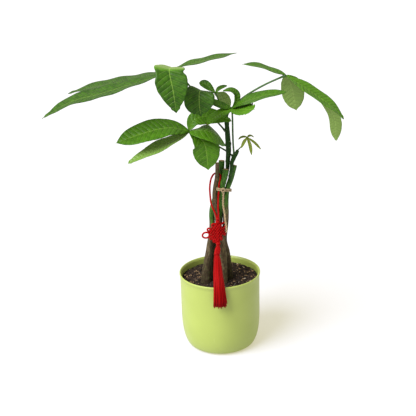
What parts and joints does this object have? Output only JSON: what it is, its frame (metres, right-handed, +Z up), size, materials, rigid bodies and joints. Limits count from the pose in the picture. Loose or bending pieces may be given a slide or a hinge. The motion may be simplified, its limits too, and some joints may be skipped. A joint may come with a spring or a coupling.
{
  "type": "potted money tree",
  "caption": "Potted money tree with braided trunks, green shoots of hand-shaped leaves, a round plastic pot of soil, a twine tie and a red knotted charm with a tassel.",
  "frame": {"origin": "centre of the pot's base, on the surface it stands on", "axes": "+Z up, -Y towards the plant's front where the charm hangs, +X to the right seen from the front"},
  "size_m": [0.4157, 0.144, 0.4413],
  "materials": {
    "pot_plastic": "matte lime green",
    "potting_mix": "moist dark crumbs of peat and bark with pale perlite",
    "bark": "thin grey-brown bark, green on the young wood",
    "green_shoot": "smooth green bark",
    "leaf": "smooth leaf with a soft sheen, paler underneath",
    "young_leaf": "soft yellow-green new leaf",
    "twine": "twisted natural fibre",
    "red_cord": "braided red cord and silky tassel threads"
  },
  "bodies": {
    "root": {"pot": "pot_plastic", "soil": "potting_mix", "trunk_front": "bark", "trunk_left": "bark", "trunk_rear": "bark", "trunk_right": "bark", "main_shoot": "green_shoot", "side_shoot": "green_shoot", "leaf_upper_left": "leaf", "leaf_lower_left": "leaf", "leaf_small_centre": "leaf", "leaf_centre": "leaf", "leaf_upper_right": "leaf", "leaf_young": "young_leaf", "twine_tie": "twine", "twine_tail": "twine", "charm_cord": "red_cord", "charm_knot": "red_cord", "charm_tassel": "red_cord"}
  },
  "joints": []
}
